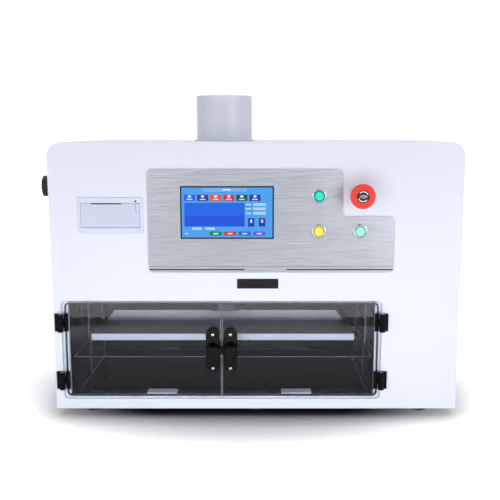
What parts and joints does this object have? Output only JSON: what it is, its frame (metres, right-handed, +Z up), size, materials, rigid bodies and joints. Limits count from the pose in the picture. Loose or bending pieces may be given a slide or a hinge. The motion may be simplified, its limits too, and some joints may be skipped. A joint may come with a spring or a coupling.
{
  "type": "carton compression tester",
  "caption": "White benchtop press with two clear doors, a splash tray, a screw-driven platen and a front control plate.",
  "frame": {"origin": "on the floor, under the middle of the whole machine's box", "axes": "+Z up, the doors face -Y, +X to the right of someone who faces the doors"},
  "size_m": [0.708, 0.421, 0.545],
  "materials": {
    "white_paint": "gloss powder coat",
    "black_steel": "satin black",
    "dark_liner": "dark polished sheet",
    "polished_steel": "polished",
    "zinc_steel": "bright zinc",
    "black_rubber": "matte",
    "belt_rubber": "matte",
    "clear_acrylic": "clear acrylic sheet",
    "white_nylon": "matte",
    "brushed_stainless": "brushed along X",
    "display_glass": "gloss",
    "chrome_trim": "polished",
    "black_plastic": "moulded",
    "latch_plastic": "gloss moulded",
    "dark_plate": "dark anodised",
    "grey_plastic": "moulded",
    "grey_iron": "machined",
    "bronze": "turned",
    "board_green": "solder mask",
    "bare_aluminium": "bare",
    "machined_aluminium": "machined",
    "beam_aluminium": "milled",
    "teal_lens": "translucent",
    "yellow_lens": "translucent",
    "green_lens": "translucent",
    "red_plastic": "gloss",
    "thermal_paper": "matte"
  },
  "bodies": {
    "machine": {"base_plate": "black_steel", "cabinet_shell": "white_paint", "rear_panel": "white_paint", "rubber_feet": "black_rubber", "frame_bolts": "zinc_steel", "chamber_liner": "dark_liner", "chamber_back_panel": "dark_liner", "wall_strips": "polished_steel", "lower_platen": "polished_steel", "front_sill": "polished_steel", "splash_tray": "clear_acrylic", "nylon_pads": "white_nylon", "door_seal": "black_rubber", "frame_posts": "zinc_steel", "crosshead_plate": "zinc_steel", "tube_cover": "white_paint", "control_plate": "brushed_stainless", "display_module": "display_glass", "button_bezels": "chrome_trim", "button_barrels": "black_plastic", "estop_barrel": "black_plastic", "nameplate_blank": "dark_plate", "printer_frame": "grey_plastic", "knob_socket": "black_plastic", "nut_housing": "grey_iron", "nut_bearings": "zinc_steel", "guide_bushings": "bronze", "drive_motor": "black_steel", "drive_belt": "belt_rubber", "controller_board": "board_green", "power_supply": "bare_aluminium", "cabinet_hinge_leaves": "black_plastic", "hinge_pins": "zinc_steel", "mains_inlet": "black_plastic"},
    "left_door": {"left_door_leaf": "clear_acrylic", "left_hinge_leaves": "black_plastic", "left_latch_plate": "latch_plastic"},
    "right_door": {"right_door_leaf": "clear_acrylic", "right_hinge_leaves": "black_plastic", "right_latch_plate": "latch_plastic"},
    "latch_knob": {"latch_turn_knob": "latch_plastic"},
    "latch_bolt": {"latch_bolt": "zinc_steel"},
    "press_ram": {"upper_platen": "machined_aluminium", "spreader_beam": "beam_aluminium", "load_cell": "zinc_steel", "lead_screw": "zinc_steel", "guide_rods": "zinc_steel"},
    "drive_nut": {"drive_nut": "bronze"},
    "motor_shaft": {"motor_pulley": "bare_aluminium"},
    "test_button": {"test_button_cap": "teal_lens"},
    "standby_button": {"standby_button_cap": "yellow_lens"},
    "power_button": {"power_button_cap": "green_lens"},
    "estop_plunger": {"estop_stem": "black_plastic"},
    "estop_mushroom": {"estop_head": "red_plastic"},
    "printer_lid": {"printer_door": "grey_plastic"},
    "printer_catch": {"printer_lever": "grey_plastic"},
    "roll": {"paper_roll": "thermal_paper"},
    "side_control": {"side_knob": "black_plastic"},
    "mains_switch": {"mains_rocker": "black_plastic"}
  },
  "joints": [
    {"name": "left_door_swing", "type": "hinge", "parent": "machine", "child": "left_door", "pos_m": [-0.313, -0.1795, 0.11645], "axis": [0, 0, -1], "range_deg": [0, 160]},
    {"name": "right_door_swing", "type": "hinge", "parent": "machine", "child": "right_door", "pos_m": [0.225, -0.1795, 0.11645], "axis": [0, 0, 1], "range_deg": [0, 160]},
    {"name": "latch_turn", "type": "hinge", "parent": "left_door", "child": "latch_knob", "pos_m": [-0.05875, -0.1925, 0.1185], "axis": [0, -1, 0], "range_deg": [0, 90]},
    {"name": "latch_throw", "type": "slide", "parent": "left_door", "child": "latch_bolt", "axis": [1, 0, 0], "range_m": [0, 0.008]},
    {"name": "ram_travel", "type": "slide", "parent": "machine", "child": "press_ram", "axis": [0, 0, 1], "range_m": [-0.085, 0.035]},
    {"name": "nut_turn", "type": "hinge", "parent": "machine", "child": "drive_nut", "pos_m": [-0.044, -0.0025, 0.295], "axis": [0, 0, 1], "range_deg": [-3061, 1261]},
    {"name": "motor_turn", "type": "hinge", "parent": "machine", "child": "motor_shaft", "pos_m": [0.126, -0.0025, 0.295], "axis": [0, 0, 1], "range_deg": [-6121, 2521]},
    {"name": "test_push", "type": "slide", "parent": "machine", "child": "test_button", "axis": [0, 1, 0], "range_m": [0, 0.003], "stiffness_N_per_m": 600, "springref_m": -0.001},
    {"name": "standby_push", "type": "slide", "parent": "machine", "child": "standby_button", "axis": [0, 1, 0], "range_m": [0, 0.003], "stiffness_N_per_m": 600, "springref_m": -0.001},
    {"name": "power_push", "type": "slide", "parent": "machine", "child": "power_button", "axis": [0, 1, 0], "range_m": [0, 0.003], "stiffness_N_per_m": 600, "springref_m": -0.001},
    {"name": "estop_push", "type": "slide", "parent": "machine", "child": "estop_plunger", "axis": [0, 1, 0], "range_m": [0, 0.004]},
    {"name": "estop_twist", "type": "hinge", "parent": "estop_plunger", "child": "estop_mushroom", "pos_m": [0.184, -0.1925, 0.379], "axis": [0, -1, 0], "range_deg": [0, 40], "stiffness_Nm_per_rad": 0.05},
    {"name": "printer_door_fold", "type": "hinge", "parent": "machine", "child": "printer_lid", "pos_m": [-0.225, -0.173, 0.3265], "axis": [1, 0, 0], "range_deg": [0, 75]},
    {"name": "printer_lever_tip", "type": "hinge", "parent": "machine", "child": "printer_catch", "pos_m": [-0.1797, -0.173, 0.3635], "axis": [-1, 0, 0], "range_deg": [0, 40], "stiffness_Nm_per_rad": 0.004},
    {"name": "paper_roll_spin", "type": "hinge", "parent": "machine", "child": "roll", "pos_m": [-0.225, -0.1475, 0.343], "axis": [1, 0, 0], "continuous": true},
    {"name": "side_knob_turn", "type": "hinge", "parent": "machine", "child": "side_control", "pos_m": [-0.326, -0.0925, 0.388], "axis": [-1, 0, 0], "range_deg": [-150, 150]},
    {"name": "mains_switch_rock", "type": "hinge", "parent": "machine", "child": "mains_switch", "pos_m": [0.254, 0.2055, 0.096], "axis": [1, 0, 0], "range_deg": [0, 14]}
  ],
  "couplings": [
    {"joint": "latch_throw", "follows": "latch_turn", "m_per_rad": 0.005093},
    {"joint": "nut_turn", "follows": "ram_travel", "rad_per_m": 628.32},
    {"joint": "motor_turn", "follows": "ram_travel", "rad_per_m": 1256.6}
  ]
}
